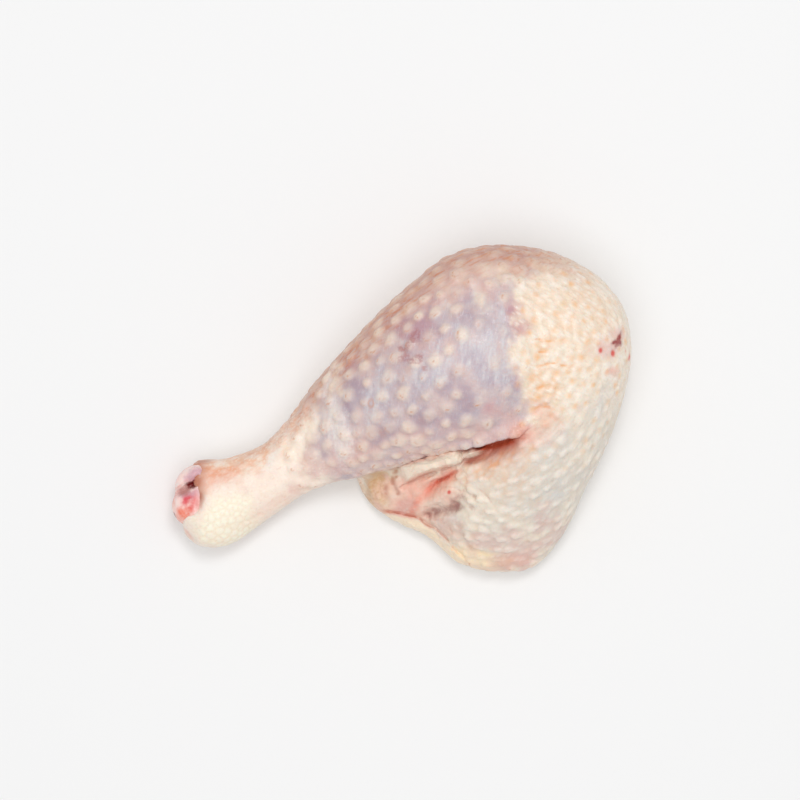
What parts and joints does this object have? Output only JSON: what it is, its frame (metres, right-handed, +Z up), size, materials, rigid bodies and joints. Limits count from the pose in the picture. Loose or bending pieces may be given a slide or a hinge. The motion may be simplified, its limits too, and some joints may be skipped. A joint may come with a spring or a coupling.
{
  "type": "raw chicken leg",
  "caption": "Raw chicken leg: drumstick and thigh folded together at the knee under pimpled pale skin, with the bone showing at the cut hock.",
  "frame": {"origin": "under the middle of the leg, on the surface that it lies on", "axes": "+X is the length of the folded leg, from the cut hock towards the knee; +Z is up, away from the surface"},
  "size_m": [0.1444, 0.1032, 0.0488],
  "materials": {
    "skin": "moist raw skin with a soft sheen",
    "cartilage": "wet gristle, pinkish white"
  },
  "bodies": {
    "root": {"leg_meat": "skin", "shank_bone": "cartilage"}
  },
  "joints": []
}
